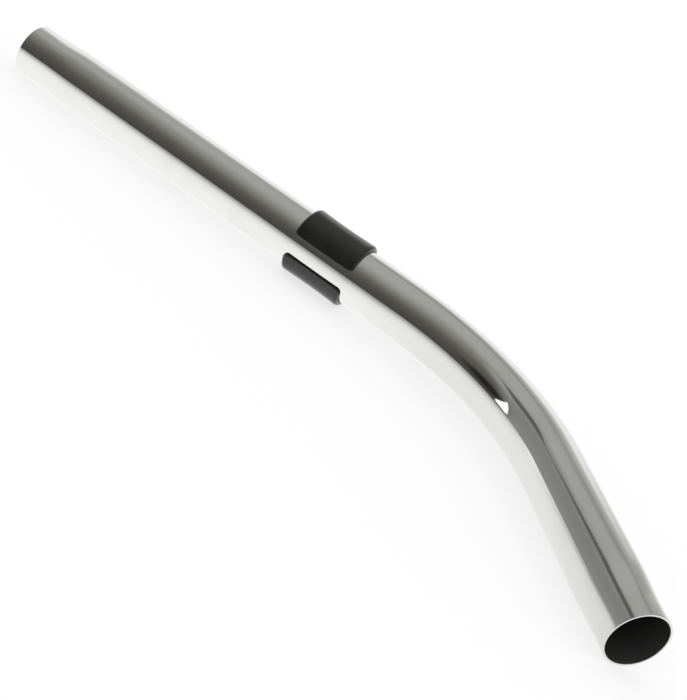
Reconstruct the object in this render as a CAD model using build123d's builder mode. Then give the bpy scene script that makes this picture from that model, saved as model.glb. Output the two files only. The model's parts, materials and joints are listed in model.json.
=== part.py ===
from build123d import *
import os

# Curved wand of a vacuum cleaner, in millimetres: a thin steel tube, bent once and drawn down at both
# ends, and a split plastic collar that turns on it to open and close a bleed slot.

# Tube
tube_d = 32.0
tube_wall = 1.0
long_leg = 260.5  # from its tip to the bend
short_leg = 105.0  # from the bend to its tip
bend_radius = 150.0  # at the centreline
bend_angle = 48.6

# Drawn ends, which push into a socket
draw_step = 0.85  # how far the wall is drawn in
spigot_length = 10.0  # parallel stretch at the tip
swell_length = 24.0  # from the spigot back to the full tube
rim_chamfer = 0.35  # deburred edges of the tip

# Bleed slot under the collar, on the outside of the bend
slot_length = 16.0
slot_width = 7.0

# Suction collar
collar_length = 37.2
collar_setback = 30.6  # bare tube between the collar and the bend
collar_clearance = 0.2
collar_wall = 2.25  # at the waist
flare_rise = 0.4  # how far both rims stand above the waist
gap_width = 10.4
gap_angle = 173.7  # from the outside of the bend, up and over
lip_corner = 2.5  # radius, seen from above the gap
edge_chamfer = 1.1  # outside, all round
bore_chamfer = 0.4

tube_radius = tube_d / 2
spigot_radius = tube_radius - draw_step
end_length = spigot_length + swell_length
collar_bore = tube_radius + collar_clearance
waist_radius = collar_bore + collar_wall
rim_radius = waist_radius + flare_rise
collar_middle = -collar_setback - collar_length / 2

# The wand is drawn with its bend in the XY plane, the long leg along X and the bend starting at zero.
up = Vector(0, 0, 1)
along = Vector(1, 0, 0)
along_short = along.rotate(Axis.Z, -bend_angle)
bend_centre = Vector(0, -bend_radius, 0)
bend_end = bend_centre + Vector(0, bend_radius, 0).rotate(Axis.Z, -bend_angle)
far_tip = along * -long_leg
near_tip = bend_end + along_short * short_leg


def drawn_wall(radius):
    # One side of a drawn end: parallel from the tip, then a smooth swell to the full tube
    spigot = Line((0, radius), (spigot_length, radius))
    Spline(spigot @ 1, (end_length, radius + draw_step), tangents=((1, 0), (1, 0)))


with BuildPart() as bent_tube:
    with BuildLine() as centreline:
        long_run = Line(far_tip + along * end_length, (0, 0))
        bend = JernArc(long_run @ 1, tangent=(1, 0), radius=bend_radius, arc_size=-bend_angle)
        Line(bend @ 1, near_tip - along_short * end_length)
    with BuildSketch(Plane(long_run @ 0, z_dir=along)):
        Circle(tube_radius)
        Circle(tube_radius - tube_wall, mode=Mode.SUBTRACT)
    sweep(path=centreline.line)

    # Both ends are drawn down in the same die
    for tip, inward in ((far_tip, along), (near_tip, along_short * -1)):
        with BuildSketch(Plane(tip, x_dir=inward, z_dir=up)) as end_section:
            with BuildLine():
                drawn_wall(spigot_radius)
                drawn_wall(spigot_radius - tube_wall)
                Line((0, spigot_radius - tube_wall), (0, spigot_radius))
                Line((end_length, tube_radius - tube_wall), (end_length, tube_radius))
            make_face()
            chamfer(end_section.vertices().group_by(Axis.X)[0], length=rim_chamfer)
        revolve(axis=Axis(tip, inward))

    # The bleed slot is punched through one wall, under the middle of the collar
    with BuildSketch(Plane(along * collar_middle, x_dir=along, z_dir=(0, 1, 0))):
        SlotOverall(slot_length, slot_width)
    extrude(amount=tube_d, mode=Mode.SUBTRACT)


gap_direction = Vector(0, 1, 0).rotate(Axis.X, gap_angle)

with BuildPart() as suction_collar:
    with BuildSketch(Plane(along * collar_middle, x_dir=along, z_dir=(0, -1, 0))):
        with BuildLine():
            far_rim = (-collar_length / 2, rim_radius)
            near_rim = (collar_length / 2, rim_radius)
            ThreePointArc(far_rim, (0, waist_radius), near_rim)
            Polyline(near_rim, (collar_length / 2, collar_bore), (-collar_length / 2, collar_bore), far_rim)
        make_face()
    revolve(axis=Axis.X)

    # The gap runs the whole length and is wide enough to clear the bleed slot
    with BuildSketch(Plane(along * collar_middle, x_dir=along, z_dir=gap_direction)):
        Rectangle(2 * collar_length, gap_width)
    extrude(amount=2 * rim_radius, mode=Mode.SUBTRACT)

    # Lips with round corners, then a broken edge all round the outside and a small one at the bore
    fillet(suction_collar.edges().filter_by(Axis((0, 0, 0), gap_direction)), radius=lip_corner)
    skin = suction_collar.faces().filter_by(GeomType.TORUS).sort_by(SortBy.AREA)[-1]
    chamfer(skin.outer_wire().edges(), length=edge_chamfer)
    bore = suction_collar.faces().filter_by(GeomType.CYLINDER).sort_by(SortBy.AREA)[-1]
    chamfer(bore.outer_wire().edges(), length=bore_chamfer)

# The wand comes to rest on its near tip, on the long leg where its drawn end begins and on the collar's rim
# furthest from the bend, so the floor is the plane through their lowest points. The rim's crest is where its
# broken edge begins.
crest_radius = waist_radius + flare_rise * (1 - 2 * edge_chamfer / collar_length) ** 2
far_low = far_tip + along * end_length - up * tube_radius
near_low = near_tip - up * spigot_radius
collar_low = along * (collar_middle - collar_length / 2 + edge_chamfer) - up * crest_radius
floor = Plane(far_low, x_dir=along, z_dir=(near_low - far_low).cross(collar_low - far_low))
for piece in (bent_tube, suction_collar):
    piece.part.move(floor.location.inverse())

# The origin is on the floor, under the middle of the whole wand
extent = Compound([bent_tube.part, suction_collar.part]).bounding_box()
origin = Vector(extent.center().X, extent.center().Y, extent.min.Z)
for piece in (bent_tube, suction_collar):
    piece.part.move(Location(-origin))

bent_tube.part.label = "bent_tube"
suction_collar.part.label = "suction_collar"
os.makedirs("parts", exist_ok=True)
export_step(bent_tube.part, "parts/bent_tube.step")
export_step(suction_collar.part, "parts/suction_collar.step")
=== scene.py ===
import json
import math

import bpy
from mathutils import Matrix, Vector
from mathutils.geometry import intersect_line_line


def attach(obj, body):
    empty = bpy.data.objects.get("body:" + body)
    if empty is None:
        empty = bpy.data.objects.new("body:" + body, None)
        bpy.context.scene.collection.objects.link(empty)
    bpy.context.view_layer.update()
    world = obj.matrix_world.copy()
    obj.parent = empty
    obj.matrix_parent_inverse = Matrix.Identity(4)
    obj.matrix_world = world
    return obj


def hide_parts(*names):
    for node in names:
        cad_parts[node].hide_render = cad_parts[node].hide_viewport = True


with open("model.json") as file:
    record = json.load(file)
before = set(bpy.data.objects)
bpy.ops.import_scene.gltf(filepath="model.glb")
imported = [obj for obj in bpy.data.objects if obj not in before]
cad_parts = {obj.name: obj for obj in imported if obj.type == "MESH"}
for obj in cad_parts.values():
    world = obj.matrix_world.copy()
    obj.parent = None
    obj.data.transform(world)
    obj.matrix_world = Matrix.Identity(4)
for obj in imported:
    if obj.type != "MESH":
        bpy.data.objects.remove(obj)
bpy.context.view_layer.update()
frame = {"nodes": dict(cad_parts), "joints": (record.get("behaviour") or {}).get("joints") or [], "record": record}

scene = bpy.context.scene
scene.view_settings.view_transform = "Standard"
print("frame loaded:", ", ".join(sorted(frame["nodes"])))

# Where the CAD frame puts things: both mouths, both legs' directions and the collar's middle
mounts = {mount["name"]: mount for mount in frame["record"]["mounts"]}
farSpigot = mounts["long_leg_spigot"]
nearSpigot = mounts["short_leg_spigot"]
collarTurn = frame["joints"][0]
alongLong = Vector(collarTurn["axis"]).normalized()  # from the far mouth towards the bend
alongShort = Vector(nearSpigot["axis"]).normalized()  # from the bend towards the near mouth
bendAngle = alongLong.angle(alongShort)

mergeDistance = 1e-6  # points closer than this are one


# small helpers

def deselectAll():
    if bpy.context.object and bpy.context.object.mode != "OBJECT":
        bpy.ops.object.mode_set(mode="OBJECT")
    bpy.ops.object.select_all(action="DESELECT")


def pickOnly(piece):
    deselectAll()
    piece.select_set(True)
    bpy.context.view_layer.objects.active = piece


def finishWith(piece, kind, **settings):
    pickOnly(piece)
    modifier = piece.modifiers.new(kind.title(), kind)
    for name, value in settings.items():
        setattr(modifier, name, value)
    bpy.ops.object.modifier_apply(modifier=modifier.name)


def addNode(tree, kind, inputs=None, **settings):
    made = tree.nodes.new(kind)
    for name, value in settings.items():
        setattr(made, name, value)
    for name, value in (inputs or {}).items():
        if isinstance(value, bpy.types.NodeSocket):
            tree.links.new(value, made.inputs[name])
        else:
            made.inputs[name].default_value = value
    return made


def addRamp(tree, factor, stops):
    ramp = addNode(tree, "ShaderNodeValToRGB", {"Fac": factor})
    ramp.color_ramp.interpolation = "B_SPLINE"
    points = ramp.color_ramp.elements
    while len(points) < len(stops):
        points.new(0.5)  # moved to its place below
    for point, (place, shade) in zip(points, stops):
        point.position = place
        point.color = (*shade, 1) if isinstance(shade, tuple) else (shade, shade, shade, 1)
    return ramp.outputs["Color"]


def addMath(tree, operation, *values):
    return addNode(tree, "ShaderNodeMath", dict(enumerate(values)), operation=operation).outputs[0]


def addBlend(tree, factor, first, second):
    # the sockets of a colour mix share their names, so they go by number
    mix = addNode(tree, "ShaderNodeMix", {0: factor, 6: first, 7: second}, data_type="RGBA")
    return mix.outputs[2]


def addFade(tree, value, start, end):
    fade = {"Value": value, "From Min": start, "From Max": end}
    return addNode(tree, "ShaderNodeMapRange", fade, interpolation_type="SMOOTHSTEP").outputs["Result"]


# camera, at the photo's view

cameraSetup = {
    "place": (0.16121, -0.55732, 0.26754),
    "turnDegrees": (62.1182, -28.2122, 27.1602),
    "lens": 66.455,
    "sensor": 36,  # along the picture's long side
}

cameraData = bpy.data.cameras.new("camera")
cameraData.lens = cameraSetup["lens"]
cameraData.sensor_width = cameraSetup["sensor"]
camera = bpy.data.objects.new("camera", cameraData)
scene.collection.objects.link(camera)
camera.location = cameraSetup["place"]
camera.rotation_euler = [math.radians(turn) for turn in cameraSetup["turnDegrees"]]
scene.camera = camera
print("camera set, lens", cameraData.lens)


# finishes

marksSetup = {
    "smudgeDetail": 4.0,
    "smudgeGrain": 0.6,
    "smudgeFade": (0.45, 0.75),  # of the noise, from clean to smudged
    "hairlineTurns": ((0.0, 0.1, 0.5), (0.3, 0.9, -0.8)),  # in radians
    "hairlineStretch": (0.03, 1.0, 1.0),
    "hairlineDetail": 2.0,
    "hairlineFade": (0.66, 0.72),
}


def buildHandlingMarks():
    # soft smudges and fine hairlines, shared by the chrome and the plastic
    group = bpy.data.node_groups.new("handlingMarks", "ShaderNodeTree")
    sockets = group.interface
    sockets.new_socket("Place", in_out="INPUT", socket_type="NodeSocketVector")
    for name in ("Smudge Scale", "Hairline Scale"):
        sockets.new_socket(name, in_out="INPUT", socket_type="NodeSocketFloat")
    for name in ("Smudge", "Hairline"):
        sockets.new_socket(name, in_out="OUTPUT", socket_type="NodeSocketFloat")
    given = addNode(group, "NodeGroupInput").outputs
    put = addNode(group, "NodeGroupOutput").inputs
    smudge = addNode(group, "ShaderNodeTexNoise", {
        "Vector": given["Place"], "Scale": given["Smudge Scale"],
        "Detail": marksSetup["smudgeDetail"], "Roughness": marksSetup["smudgeGrain"],
    })
    group.links.new(addFade(group, smudge.outputs["Fac"], *marksSetup["smudgeFade"]), put["Smudge"])
    lines = []
    for turn in marksSetup["hairlineTurns"]:
        stretched = addNode(group, "ShaderNodeMapping", {
            "Vector": given["Place"], "Rotation": turn, "Scale": marksSetup["hairlineStretch"],
        })
        noise = addNode(group, "ShaderNodeTexNoise", {
            "Vector": stretched.outputs["Vector"], "Scale": given["Hairline Scale"],
            "Detail": marksSetup["hairlineDetail"],
        })
        lines.append(addFade(group, noise.outputs["Fac"], *marksSetup["hairlineFade"]))
    group.links.new(addMath(group, "MAXIMUM", *lines), put["Hairline"])
    return group


handlingMarks = buildHandlingMarks()


def newFinish(name):
    finish = bpy.data.materials.new(name)
    finish.use_nodes = True
    tree = finish.node_tree
    place = addNode(tree, "ShaderNodeTexCoord").outputs["Object"]
    return finish, tree, place


def addHandling(tree, place, look):
    # smudges change the colour a little, and both kinds of marks dull the polish
    shader = tree.nodes["Principled BSDF"].inputs
    marks = addNode(tree, "ShaderNodeGroup", {
        "Place": place, "Smudge Scale": look["smudgeScale"], "Hairline Scale": look["hairlineScale"],
    }, node_tree=handlingMarks).outputs
    colour = addBlend(tree, marks["Smudge"], look["clean"], look["handled"])
    tree.links.new(colour, shader["Base Color"])
    dull = addMath(tree, "MULTIPLY_ADD", marks["Smudge"], look["smudgeDulling"], look["polish"])
    dull = addMath(tree, "MULTIPLY_ADD", marks["Hairline"], look["hairlineDulling"], dull)
    tree.links.new(dull, shader["Roughness"])
    return shader


chromeFinish = {
    "clean": (0.88, 0.88, 0.864, 1),
    "handled": (0.842, 0.842, 0.825, 1),
    "polish": 0.035,  # roughness where it is clean
    "smudgeScale": 38.0,
    "smudgeDulling": 0.05,
    "hairlineScale": 1100.0,
    "hairlineDulling": 0.06,
}


def makeChrome():
    finish, tree, place = newFinish("polishedChrome")
    shader = addHandling(tree, place, chromeFinish)
    shader["Metallic"].default_value = 1.0
    return finish


boreFinish = {
    "steel": (0.076, 0.076, 0.074, 1),
    "film": (0.042, 0.041, 0.040, 1),  # drawing oil and dust left inside
    "filmScale": 120.0,
    "filmDetail": 5.0,
    "roughness": 0.62,
    "metallic": 0.3,  # the film hides most of the metal
}


def makeBoreSteel():
    finish, tree, place = newFinish("bareBoreSteel")
    shader = tree.nodes["Principled BSDF"].inputs
    patches = addNode(tree, "ShaderNodeTexNoise", {
        "Vector": place, "Scale": boreFinish["filmScale"], "Detail": boreFinish["filmDetail"],
    })
    colour = addBlend(tree, patches.outputs["Fac"], boreFinish["steel"], boreFinish["film"])
    tree.links.new(colour, shader["Base Color"])
    shader["Roughness"].default_value = boreFinish["roughness"]
    shader["Metallic"].default_value = boreFinish["metallic"]
    return finish


plasticFinish = {
    "clean": (0.0112, 0.0112, 0.0107, 1),
    "handled": (0.0150, 0.0150, 0.0145, 1),
    "polish": 0.19,
    "smudgeScale": 90.0,
    "smudgeDulling": 0.05,
    "hairlineScale": 1600.0,
    "hairlineDulling": 0.06,
    "density": 1.57,  # index of refraction
    "grainScale": 2600.0,
    "grainDetail": 2.0,
    "grainStrength": 0.5,
    "grainDepth": 0.00001,
}


def makePlastic():
    finish, tree, place = newFinish("blackPlastic")
    shader = addHandling(tree, place, plasticFinish)
    shader["IOR"].default_value = plasticFinish["density"]
    grain = addNode(tree, "ShaderNodeTexNoise", {
        "Vector": place, "Scale": plasticFinish["grainScale"], "Detail": plasticFinish["grainDetail"],
    })
    bump = addNode(tree, "ShaderNodeBump", {
        "Height": grain.outputs["Fac"], "Strength": plasticFinish["grainStrength"],
        "Distance": plasticFinish["grainDepth"],
    })
    tree.links.new(bump.outputs["Normal"], shader["Normal"])
    return finish


polishedChrome = makeChrome()
bareBoreSteel = makeBoreSteel()
blackPlastic = makePlastic()
print("finishes made")


# bent tube: a circle extruded along the long leg, spun round the bend and extruded down the short leg

tubeShape = {
    "radius": 0.016,
    "wall": 0.001,
    "bendRadius": 0.150,
    "drawStep": 0.00085,  # how far both ends are drawn in
    "spigot": 0.010,
    "swell": 0.024,
    "rimRound": 0.0002,
    "rimSteps": 4,
    "rimDegrees": 60,  # edges sharper than this are rims
    "rimEase": 0.00024,  # both tips stop this far inside the CAD tips, whose edges are chamfered more
    "rimSupport": 0.0008,  # loop that keeps the spigot flat up to its rim
    "slotLength": 0.016,
    "slotWidth": 0.007,
    "slotZone": 0.024,  # stretch of closer loops that the slot is cut in
    "sides": 144,
    "punchSides": 48,
    "bendSteps": 80,
    "swellSteps": 12,
    "slotSteps": 16,
    "smoothDegrees": 35,
}

# The tube is bent flat on the bench first: long leg along X, bend starting at zero and turning to -Y
pinLength = farSpigot["dims"]["length_mm"] / 1000
tipReach = tubeShape["spigot"] - tubeShape["rimEase"] - pinLength / 2  # from the mount to the tip
farTip = Vector(farSpigot["pos_m"]) + Vector(farSpigot["axis"]) * tipReach
nearTip = Vector(nearSpigot["pos_m"]) + alongShort * tipReach
legsMeet = intersect_line_line(farTip, farTip + alongLong, nearTip, nearTip + alongShort)[0]
bendReach = tubeShape["bendRadius"] * math.tan(bendAngle / 2)
bendStart = legsMeet - alongLong * bendReach
longLeg = (bendStart - farTip).length
shortLeg = (nearTip - legsMeet).length - bendReach
outward = (alongLong * math.cos(bendAngle) - alongShort).normalized()  # outside of the bend
benchToRest = Matrix((alongLong, outward, alongLong.cross(outward))).transposed().to_4x4()
benchToRest.translation = bendStart
collarMiddle = (Vector(collarTurn["pos_m"]) - bendStart).dot(alongLong)


def layDown(piece, onBench=Matrix()):
    pickOnly(piece)
    piece.matrix_world = benchToRest @ onBench
    bpy.ops.object.transform_apply(location=True, rotation=True, scale=True)


def drawnRadius(fromTip):
    along = min(max((fromTip - tubeShape["spigot"]) / tubeShape["swell"], 0), 1)
    rise = along * along * (3 - 2 * along)
    return tubeShape["radius"] - tubeShape["drawStep"] * (1 - rise)


def endStations():
    swell = [tubeShape["spigot"] + tubeShape["swell"] * step / tubeShape["swellSteps"]
             for step in range(tubeShape["swellSteps"] + 1)]
    return [tubeShape["rimSupport"]] + swell


def slotStations():
    start = longLeg + collarMiddle - tubeShape["slotZone"] / 2
    return [start + tubeShape["slotZone"] * step / tubeShape["slotSteps"]
            for step in range(tubeShape["slotSteps"] + 1)]


def extrudeTo(centre, direction, advance, scale):
    bpy.ops.mesh.extrude_region_move(TRANSFORM_OT_translate={"value": direction * advance})
    bpy.ops.transform.resize(value=(scale, scale, scale), center_override=centre + direction * advance)


def extrudeLeg(start, direction, stations, radii):
    # stations are distances from start, and radii the tube's radius at start and at each of them
    for step, station in enumerate(stations):
        before = stations[step - 1] if step else 0
        extrudeTo(start + direction * before, direction, station - before, radii[step + 1] / radii[step])


def makeTube():
    deselectAll()
    tip = Vector((-longLeg, 0, 0))
    bpy.ops.mesh.primitive_circle_add(vertices=tubeShape["sides"], radius=drawnRadius(0), location=tip,
                                      rotation=(0, math.pi / 2, 0))
    tube = bpy.context.object
    tube.name = "chromeTube"
    bpy.ops.object.transform_apply(location=True, rotation=True, scale=True)
    bpy.ops.object.mode_set(mode="EDIT")
    bpy.ops.mesh.select_all(action="SELECT")

    stations = endStations() + slotStations() + [longLeg]
    extrudeLeg(tip, Vector((1, 0, 0)), stations, [drawnRadius(at) for at in [0] + stations])

    bpy.ops.mesh.spin(steps=tubeShape["bendSteps"], angle=bendAngle,
                      center=(0, -tubeShape["bendRadius"], 0), axis=(0, 0, 1))
    shortWay = Vector((math.cos(bendAngle), -math.sin(bendAngle), 0))
    bendEnd = tubeShape["bendRadius"] * Vector((math.sin(bendAngle), math.cos(bendAngle) - 1, 0))
    stations = [shortLeg - at for at in reversed(endStations())] + [shortLeg]
    radii = [tubeShape["radius"]] + [drawnRadius(shortLeg - at) for at in stations]
    extrudeLeg(bendEnd, shortWay, stations, radii)

    bpy.ops.mesh.select_all(action="SELECT")
    bpy.ops.mesh.remove_doubles(threshold=mergeDistance)
    bpy.ops.object.mode_set(mode="OBJECT")
    first = tube.data.polygons[0]
    if first.normal.dot(first.center - tip) < 0:
        bpy.ops.object.mode_set(mode="EDIT")
        bpy.ops.mesh.flip_normals()
        bpy.ops.object.mode_set(mode="OBJECT")
    tube.data.materials.append(polishedChrome)
    tube.data.materials.append(bareBoreSteel)
    # the inner wall gets the second finish, and the round rims keep the first
    finishWith(tube, "SOLIDIFY", thickness=tubeShape["wall"], offset=-1, material_offset=1)
    finishWith(tube, "BEVEL", width=tubeShape["rimRound"], segments=tubeShape["rimSteps"],
               limit_method="ANGLE", angle_limit=math.radians(tubeShape["rimDegrees"]), material=0)
    punchSlot(tube)
    layDown(tube)
    bpy.ops.object.shade_smooth_by_angle(angle=math.radians(tubeShape["smoothDegrees"]))
    return tube


def punchSlot(tube):
    # a round punch whose two halves are pulled apart to the slot's length
    deselectAll()
    bpy.ops.mesh.primitive_cylinder_add(vertices=tubeShape["punchSides"], radius=tubeShape["slotWidth"] / 2,
                                        depth=tubeShape["radius"],
                                        location=(collarMiddle, tubeShape["radius"], 0),
                                        rotation=(math.pi / 2, 0, 0))
    punch = bpy.context.object
    bpy.ops.object.transform_apply(location=True, rotation=True, scale=True)
    pull = (tubeShape["slotLength"] - tubeShape["slotWidth"]) / 2
    for point in punch.data.vertices:
        fromMiddle = point.co.x - collarMiddle
        if abs(fromMiddle) > mergeDistance:
            point.co.x += math.copysign(pull, fromMiddle)
    finishWith(tube, "BOOLEAN", operation="DIFFERENCE", object=punch, solver="EXACT")
    bpy.data.objects.remove(punch)


chromeTube = makeTube()
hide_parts("bent_tube")
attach(chromeTube, "tube")
print("bent tube made,", len(chromeTube.data.polygons), "faces")


# suction collar: a flat plate with round corners and soft edges, bent round the tube

collarShape = {
    "length": 0.0372,
    "bore": 0.0162,
    "waist": 0.01845,
    "flare": 0.0004,  # rise of both rims above the waist
    "gapWidth": 0.0116,
    "gapDegrees": 176,  # from the outside of the bend, up and over
    "lipThinning": {"reach": 0.014, "depth": 0.0013},  # the wall thins towards both lips
    "cornerRadius": 0.0028,
    "cornerSteps": 10,
    "edgeRound": 0.0019,
    "edgeSteps": 7,
    "boreRound": 0.0002,
    "boreSteps": 3,
    "faceBand": 0.05,  # share of the wall that counts as its skin, or as its bore side
    "edgeSupport": 0.0003,  # cut that keeps the skin smooth up to its round edge
    "cutsAlong": 12,
    "cutsAround": 120,
    "smoothDegrees": 40,
}


def wrapAngle(radius):
    # half the way round, from opposite the gap to a lip; both lips are flat and face each other squarely
    return math.pi - math.asin(collarShape["gapWidth"] / 2 / radius)


def selectEdges(mesh, wanted):
    bpy.ops.mesh.select_all(action="DESELECT")
    bpy.ops.object.mode_set(mode="OBJECT")
    for edge in mesh.edges:
        edge.select = wanted(*(mesh.vertices[end].co for end in edge.vertices))
    bpy.ops.object.mode_set(mode="EDIT")


def roundEdges(mesh, wanted, radius, steps):
    selectEdges(mesh, wanted)
    bpy.ops.mesh.bevel(offset=radius, segments=steps, affect="EDGES")


def cutAcross(way, places):
    for place in places:
        bpy.ops.mesh.select_all(action="SELECT")
        bpy.ops.mesh.bisect(plane_co=way * place, plane_no=way)


def evenCuts(half, cuts):
    reach = half - collarShape["edgeRound"] - collarShape["edgeSupport"]
    return [reach * (2 * cut / cuts - 1) for cut in range(cuts + 1)]


def makeCollar():
    waist, bore, length = collarShape["waist"], collarShape["bore"], collarShape["length"]
    wall = waist - bore
    halfWidth = waist * wrapAngle(waist)
    # the plate stands along Z, with its skin at y = 0 and its bore side at y = wall
    deselectAll()
    bpy.ops.mesh.primitive_cube_add(size=1, location=(0, wall / 2, 0))
    collar = bpy.context.object
    collar.name = "suctionCollar"
    collar.scale = (length, wall, 2 * halfWidth)
    bpy.ops.object.transform_apply(location=True, rotation=True, scale=True)
    mesh = collar.data
    bpy.ops.object.mode_set(mode="EDIT")
    bpy.ops.mesh.select_mode(type="EDGE")

    # the bore side is narrower, so that the lips come out parallel
    selectEdges(mesh, lambda one, other: min(one.y, other.y) > wall / 2)
    bpy.ops.transform.resize(value=(1, 1, wrapAngle(bore) / wrapAngle(waist)), center_override=(0, 0, 0))

    # corners through the wall first, then the edges of the skin and of the bore side
    band = wall * collarShape["faceBand"]
    roundEdges(mesh, lambda one, other: abs(one.y - other.y) > wall / 2,
               collarShape["cornerRadius"], collarShape["cornerSteps"])
    roundEdges(mesh, lambda one, other: max(one.y, other.y) < band,
               collarShape["edgeRound"], collarShape["edgeSteps"])
    roundEdges(mesh, lambda one, other: min(one.y, other.y) > wall - band,
               collarShape["boreRound"], collarShape["boreSteps"])

    cutAcross(Vector((0, 0, 1)), evenCuts(halfWidth, collarShape["cutsAround"]))
    cutAcross(Vector((1, 0, 0)), evenCuts(length / 2, collarShape["cutsAlong"]))
    bpy.ops.object.mode_set(mode="OBJECT")
    thinning = collarShape["lipThinning"]
    for point in mesh.vertices:
        fromLip = min(max((halfWidth - abs(point.co.z)) / thinning["reach"], 0), 1)
        sink = thinning["depth"] * (1 + math.cos(math.pi * fromLip)) / 2
        rise = collarShape["flare"] * (2 * point.co.x / length) ** 2
        point.co.y += (sink - rise) * (1 - point.co.y / wall)
    reach = max(point.co.z for point in mesh.vertices)
    finishWith(collar, "SIMPLE_DEFORM", deform_method="BEND", deform_axis="X", angle=2 * reach / waist)
    mesh.materials.append(blackPlastic)
    ontoTube = (Matrix.Translation((collarMiddle, 0, 0))
                @ Matrix.Rotation(math.radians(collarShape["gapDegrees"]), 4, "X")
                @ Matrix.Translation((0, -waist, 0)))
    layDown(collar, ontoTube)
    bpy.ops.object.mode_set(mode="EDIT")
    bpy.ops.mesh.select_all(action="SELECT")
    bpy.ops.mesh.remove_doubles(threshold=mergeDistance)
    bpy.ops.mesh.normals_make_consistent(inside=False)
    bpy.ops.object.mode_set(mode="OBJECT")
    bpy.ops.object.shade_smooth_by_angle(angle=math.radians(collarShape["smoothDegrees"]))
    return collar


suctionCollar = makeCollar()
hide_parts("suction_collar")
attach(suctionCollar, "collar")
print("suction collar made,", len(suctionCollar.data.polygons), "faces")


# floor and studio

floorSetup = {
    "left": -0.45,
    "right": 0.9,
    "front": -0.33,
    "back": 1.2,
    "lit": (0.28, 0.28, 0.28, 1),
    "lift": 0.72,  # carries the lit floor up to white
    # what polished metal shows of the floor glows, with painted light and shade in it: in front of the long leg it
    # falls off over a few centimetres
    "falloff": {"from": -0.14, "to": 0.06},
    "beforeLongLeg": ((0.0, 0.31), (0.40, 0.52), (0.55, 0.61), (0.70, 0.84), (0.85, 0.98), (1.0, 1.0)),
    # and inside the bend it falls off slowly, a painted shade that darkens towards low x and low y
    "insideBend": {"from": 0.0, "to": 0.07, "level": 0.76, "perX": 1.09, "perY": 2.36,
                   "low": 0.37, "high": 0.87},
}


def layFloor():
    deselectAll()
    width = floorSetup["right"] - floorSetup["left"]
    depth = floorSetup["back"] - floorSetup["front"]
    middle = (floorSetup["left"] + width / 2, floorSetup["front"] + depth / 2, 0)
    bpy.ops.mesh.primitive_plane_add(size=1, location=middle)
    floor = bpy.context.object
    floor.name = "floor"
    floor.scale = (width, depth, 1)
    bpy.ops.object.transform_apply(location=True, rotation=True, scale=True)
    floor.data.materials.append(makeFloorFinish())


def makeFloorFinish():
    finish, tree, place = newFinish("whiteFloor")
    tree.nodes.remove(tree.nodes["Principled BSDF"])
    rays = addNode(tree, "ShaderNodeLightPath").outputs
    lit = addNode(tree, "ShaderNodeBsdfDiffuse", {"Color": floorSetup["lit"]})
    lifted = addNode(tree, "ShaderNodeEmission", {
        "Strength": addMath(tree, "MULTIPLY", rays["Is Camera Ray"], floorSetup["lift"]),
    })
    seen = addNode(tree, "ShaderNodeAddShader", {0: lit.outputs[0], 1: lifted.outputs[0]})

    split = addNode(tree, "ShaderNodeSeparateXYZ", {0: place}).outputs
    falloff, inside = floorSetup["falloff"], floorSetup["insideBend"]
    forward = addNode(tree, "ShaderNodeMapRange", {
        "Value": split["Y"], "From Min": falloff["from"], "From Max": falloff["to"],
    }).outputs["Result"]
    shade = addRamp(tree, forward, floorSetup["beforeLongLeg"])
    slow = addMath(tree, "MULTIPLY_ADD", split["X"], inside["perX"], inside["level"])
    slow = addMath(tree, "MULTIPLY_ADD", split["Y"], inside["perY"], slow)
    slow = addMath(tree, "MINIMUM", addMath(tree, "MAXIMUM", slow, inside["low"]), inside["high"])
    shade = addBlend(tree, addFade(tree, split["X"], inside["from"], inside["to"]), shade, slow)
    # glossy rays see the floor as a glow that carries this painted light and shade
    mirrored = addNode(tree, "ShaderNodeEmission", {"Color": shade})
    both = addNode(tree, "ShaderNodeMixShader", {
        0: rays["Is Glossy Ray"], 1: seen.outputs[0], 2: mirrored.outputs[0],
    })
    tree.links.new(both.outputs[0], tree.nodes["Material Output"].inputs["Surface"])
    return finish


# What polished metal sees round it: brightness against degrees above the horizon, and things in the room.
# A turn of 0 is the back and -90 the left.
studioSetup = {
    "front": ((0, 0.062), (20, 0.082), (34, 0.108), (46, 0.170), (60, 0.270), (74, 0.385), (84, 0.40)),
    "left": ((5, 0.268), (26, 0.218), (38, 0.255), (50, 0.375), (58, 0.40)),
    "back": ((21, 0.91), (26, 0.87), (31, 0.60), (37, 0.395), (44, 0.378), (54, 0.40)),
    "right": ((0, 0.73), (10, 0.54), (26, 0.385), (38, 0.285), (46, 0.29), (58, 0.385)),
    "span": (-10, 90),  # degrees that the ramps of these bands run over
    "backTilt": {"turn": -10, "rise": 0, "slope": 0.25},  # the white at the back climbs to the left
    # where one band gives way to the next, by the cosine or the sine of the turn
    "leftToBack": (0.30, 0.85),
    "backToRight": (0.02, 0.20),
    "sidesToFront": (-0.22, -0.48),
    "overhead": {"rise": (46, 57), "depth": (0.22, -0.26)},  # high up, the front begins already overhead
    "darkBoard": {"turn": -122.5, "rise": 14.5, "halfTurn": 15.5, "halfRise": 11,
                  "core": 0.3, "edge": 1.25, "shade": 0.018},
    "paleCurtain": {"turn": -11, "rise": 46, "halfTurn": 20, "halfRise": 6.5,
                    "core": 0.2, "edge": 1.25, "shade": 0.30},
    "rail": {"turn": -80, "rise": 42, "slope": 0.3, "core": 2.5, "edge": 8,
             "from": -98, "to": -74.5, "soft": 1.5, "shade": 0.112},
    "window": {"turn": -112, "rise": 16, "slope": -2.5, "topSoft": 1.0, "low": 1.5,
               "from": -116.0, "to": -108.6, "soft": 0.6, "shade": 1.45},
    # the greys of the room are a little yellow, its darks a little more, and its whites are not
    "tint": {"whiteAbove": 0.8, "darkBelow": 0.2, "grey": (0.99, 1.0, 0.95), "dark": (1.02, 1.0, 0.92)},
}


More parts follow.
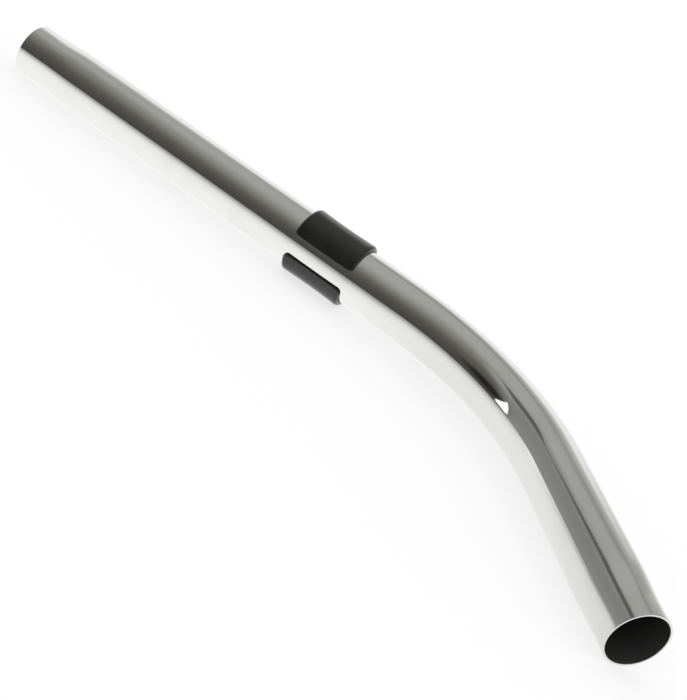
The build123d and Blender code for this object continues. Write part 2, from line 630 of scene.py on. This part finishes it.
def tinted(shade):
    tint = studioSetup["tint"]
    if shade > tint["whiteAbove"]:
        return (shade, shade, shade)
    return tuple(shade * part for part in tint["grey" if shade > tint["darkBelow"] else "dark"])


def lookAround(tree):
    # where a ray goes: degrees round and up, and the parts of its direction that the bands go by
    towards = addNode(tree, "ShaderNodeTexCoord").outputs["Generated"]
    split = addNode(tree, "ShaderNodeSeparateXYZ", {0: towards}).outputs
    bearing = addMath(tree, "ARCTAN2", split["X"], split["Y"])
    return {
        "turn": addMath(tree, "DEGREES", bearing),
        "rise": addMath(tree, "DEGREES", addMath(tree, "ARCSINE", split["Z"])),
        "ahead": addMath(tree, "COSINE", bearing),
        "side": addMath(tree, "SINE", bearing),
        "depth": split["Y"],
    }


def aboveLine(tree, ray, thing):
    # degrees above a line through the thing's turn and rise, which falls to the right by its slope
    start = thing["turn"] * thing["slope"] + thing["rise"]
    line = addMath(tree, "MULTIPLY_ADD", ray["turn"], -thing["slope"], start)
    return addMath(tree, "SUBTRACT", ray["rise"], line)


def between(tree, ray, thing):
    soft = thing["soft"]
    begun = addFade(tree, ray["turn"], thing["from"] - soft, thing["from"] + soft)
    lasting = addFade(tree, ray["turn"], thing["to"] + soft, thing["to"] - soft)
    return addMath(tree, "MULTIPLY", begun, lasting)


def inPatch(tree, ray, patch):
    # a soft oval
    across = addMath(tree, "DIVIDE", addMath(tree, "SUBTRACT", ray["turn"], patch["turn"]), patch["halfTurn"])
    over = addMath(tree, "DIVIDE", addMath(tree, "SUBTRACT", ray["rise"], patch["rise"]), patch["halfRise"])
    squares = addMath(tree, "MULTIPLY_ADD", across, across, addMath(tree, "MULTIPLY", over, over))
    return addFade(tree, addMath(tree, "SQRT", squares), patch["edge"], patch["core"])


def onRail(tree, ray, rail):
    fromRail = addMath(tree, "ABSOLUTE", aboveLine(tree, ray, rail))
    near = addFade(tree, fromRail, rail["edge"], rail["core"])
    return addMath(tree, "MULTIPLY", near, between(tree, ray, rail))


def inWindow(tree, ray, window):
    under = addFade(tree, aboveLine(tree, ray, window), window["topSoft"], -window["topSoft"])
    over = addMath(tree, "GREATER_THAN", ray["rise"], window["low"])
    return addMath(tree, "MULTIPLY", addMath(tree, "MULTIPLY", under, over), between(tree, ray, window))


def addBands(tree, ray):
    lowest, highest = studioSetup["span"]
    tilted = aboveLine(tree, ray, studioSetup["backTilt"])
    bands = {}
    for name in ("front", "left", "back", "right"):
        part = addNode(tree, "ShaderNodeMapRange", {
            "Value": tilted if name == "back" else ray["rise"], "From Min": lowest, "From Max": highest,
        })
        stops = [((rise - lowest) / (highest - lowest), tinted(shade)) for rise, shade in studioSetup[name]]
        bands[name] = addRamp(tree, part.outputs["Result"], stops)
    toBack = addFade(tree, ray["ahead"], *studioSetup["leftToBack"])
    toRight = addFade(tree, ray["side"], *studioSetup["backToRight"])
    toFront = addFade(tree, ray["ahead"], *studioSetup["sidesToFront"])
    overhead = addMath(tree, "MULTIPLY", addFade(tree, ray["rise"], *studioSetup["overhead"]["rise"]),
                       addFade(tree, ray["depth"], *studioSetup["overhead"]["depth"]))
    shade = addBlend(tree, toBack, bands["left"], bands["back"])
    shade = addBlend(tree, toRight, shade, bands["right"])
    shade = addBlend(tree, overhead, shade, bands["front"])
    return addBlend(tree, toFront, shade, bands["front"])


def makeStudio():
    world = bpy.data.worlds.new("studio")
    scene.world = world
    world.use_nodes = True
    tree = world.node_tree
    tree.nodes.clear()
    ray = lookAround(tree)
    shade = addBands(tree, ray)
    things = (("darkBoard", inPatch), ("paleCurtain", inPatch), ("rail", onRail), ("window", inWindow))
    for name, cover in things:
        thing = studioSetup[name]
        shade = addBlend(tree, cover(tree, ray, thing), shade, (*tinted(thing["shade"]), 1))
    # plain white light on everything, and the room only in reflections
    evenLight = addNode(tree, "ShaderNodeBackground", {"Color": (1, 1, 1, 1), "Strength": 1.0})
    mirrored = addNode(tree, "ShaderNodeBackground", {"Color": shade, "Strength": 1.0})
    rays = addNode(tree, "ShaderNodeLightPath").outputs
    both = addNode(tree, "ShaderNodeMixShader", {
        0: rays["Is Glossy Ray"], 1: evenLight.outputs[0], 2: mirrored.outputs[0],
    })
    addNode(tree, "ShaderNodeOutputWorld", {"Surface": both.outputs[0]})


layFloor()
makeStudio()
print("floor and studio set")
